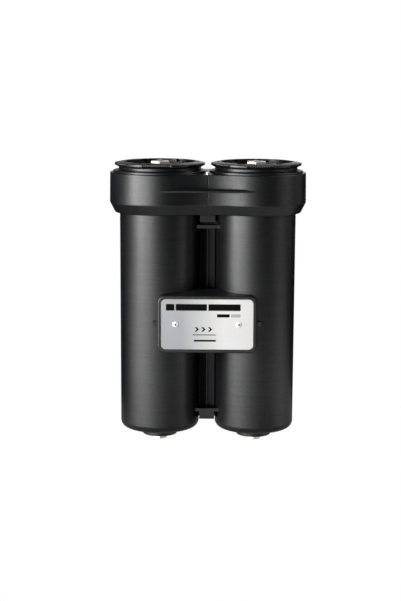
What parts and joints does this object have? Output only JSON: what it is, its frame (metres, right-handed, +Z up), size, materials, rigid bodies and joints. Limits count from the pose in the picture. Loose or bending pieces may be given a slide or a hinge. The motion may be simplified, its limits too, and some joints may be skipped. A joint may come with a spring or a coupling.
{
  "type": "magnetic system filter",
  "caption": "Magnetic filter for heating pipework: side-by-side canisters with screw-down lids, lift-out magnets, base drains and rear threaded pipe ports.",
  "frame": {"origin": "midway between the canister axes, in the plane of the drain plugs' lowest faces", "axes": "+X from the left canister to the right one, +Y to the rear where the pipe ports face, +Z up"},
  "size_m": [0.2618, 0.1338, 0.3802],
  "materials": {
    "body_plastic": "satin black glass-filled moulding with a fine spark-eroded texture",
    "ring_plastic": "satin black moulding",
    "lid_plastic": "matt black moulding",
    "bracket_plastic": "satin black moulding",
    "washer_plastic": "natural white low-friction plastic",
    "sleeve_plastic": "smooth grey moulding",
    "seal_rubber": "black rubber",
    "nickel_plate": "bright nickel plate on brass",
    "magnet_nickel": "nickel plate",
    "steel": "turned steel",
    "brass": "machined brass",
    "plate_aluminium": "satin brushed, anodised",
    "rivet_aluminium": "bright"
  },
  "bodies": {
    "casing": {"twin_body": "body_plastic", "nameplate_bracket": "bracket_plastic", "nameplate": "plate_aluminium", "nameplate_rivets": "rivet_aluminium", "bracket_screws": "steel", "collar_insert": "brass", "collar_screw": "steel", "inlet_insert": "brass", "outlet_insert": "brass", "left_drain_bush": "brass", "right_drain_bush": "brass"},
    "left_sleeve": {"left_sleeve": "sleeve_plastic"},
    "left_lid": {"left_lid": "lid_plastic", "left_lid_oring": "seal_rubber", "left_bleed_body": "nickel_plate", "left_bleed_washer": "washer_plastic", "left_magnet_rod": "steel", "left_magnets": "magnet_nickel", "left_pole_plates": "steel", "left_rod_nut": "steel"},
    "left_slip_washer": {"left_slip_washer": "washer_plastic"},
    "left_lock_ring": {"left_lock_ring": "ring_plastic"},
    "left_bleed_screw": {"left_bleed_screw": "nickel_plate"},
    "left_drain_seal": {"left_drain_seal": "seal_rubber"},
    "left_drain_plug": {"left_drain_plug": "nickel_plate"},
    "right_sleeve": {"right_sleeve": "sleeve_plastic"},
    "right_lid": {"right_lid": "lid_plastic", "right_lid_oring": "seal_rubber", "right_bleed_body": "nickel_plate", "right_bleed_washer": "washer_plastic", "right_magnet_rod": "steel", "right_magnets": "magnet_nickel", "right_pole_plates": "steel", "right_rod_nut": "steel"},
    "right_slip_washer": {"right_slip_washer": "washer_plastic"},
    "right_lock_ring": {"right_lock_ring": "ring_plastic"},
    "right_bleed_screw": {"right_bleed_screw": "nickel_plate"},
    "right_drain_seal": {"right_drain_seal": "seal_rubber"},
    "right_drain_plug": {"right_drain_plug": "nickel_plate"}
  },
  "joints": [
    {"name": "left_sleeve_lift", "type": "slide", "parent": "casing", "child": "left_sleeve", "axis": [0, 0, 1], "range_m": [0, 0.34]},
    {"name": "left_lid_lift", "type": "slide", "parent": "left_sleeve", "child": "left_lid", "axis": [0, 0, 1], "range_m": [0, 0.3]},
    {"name": "left_ring_rise", "type": "slide", "parent": "left_lid", "child": "left_slip_washer", "axis": [0, 0, 1], "range_m": [0, 0.0151]},
    {"name": "left_ring_turn", "type": "hinge", "parent": "left_slip_washer", "child": "left_lock_ring", "pos_m": [-0.064, 0, 0.366], "axis": [0, 0, 1], "range_deg": [0, 1080]},
    {"name": "left_bleed_turn", "type": "hinge", "parent": "left_lid", "child": "left_bleed_screw", "pos_m": [-0.064, 0, 0.372], "axis": [0, 0, 1], "range_deg": [0, 360]},
    {"name": "left_drain_drop", "type": "slide", "parent": "casing", "child": "left_drain_seal", "axis": [0, 0, -1], "range_m": [0, 0.00535]},
    {"name": "left_drain_turn", "type": "hinge", "parent": "left_drain_seal", "child": "left_drain_plug", "pos_m": [-0.064, 0, 0.003], "axis": [0, 0, -1], "range_deg": [0, 1461]},
    {"name": "right_sleeve_lift", "type": "slide", "parent": "casing", "child": "right_sleeve", "axis": [0, 0, 1], "range_m": [0, 0.34]},
    {"name": "right_lid_lift", "type": "slide", "parent": "right_sleeve", "child": "right_lid", "axis": [0, 0, 1], "range_m": [0, 0.3]},
    {"name": "right_ring_rise", "type": "slide", "parent": "right_lid", "child": "right_slip_washer", "axis": [0, 0, 1], "range_m": [0, 0.0151]},
    {"name": "right_ring_turn", "type": "hinge", "parent": "right_slip_washer", "child": "right_lock_ring", "pos_m": [0.064, 0, 0.366], "axis": [0, 0, 1], "range_deg": [0, 1080]},
    {"name": "right_bleed_turn", "type": "hinge", "parent": "right_lid", "child": "right_bleed_screw", "pos_m": [0.064, 0, 0.372], "axis": [0, 0, 1], "range_deg": [0, 360]},
    {"name": "right_drain_drop", "type": "slide", "parent": "casing", "child": "right_drain_seal", "axis": [0, 0, -1], "range_m": [0, 0.00535]},
    {"name": "right_drain_turn", "type": "hinge", "parent": "right_drain_seal", "child": "right_drain_plug", "pos_m": [0.064, 0, 0.003], "axis": [0, 0, -1], "range_deg": [0, 1461]}
  ],
  "couplings": [
    {"joint": "left_ring_rise", "follows": "left_ring_turn", "m_per_rad": 0.00079577},
    {"joint": "left_drain_turn", "follows": "left_drain_drop", "rad_per_m": 4699.5},
    {"joint": "right_ring_rise", "follows": "right_ring_turn", "m_per_rad": 0.00079577},
    {"joint": "right_drain_turn", "follows": "right_drain_drop", "rad_per_m": 4699.5}
  ]
}
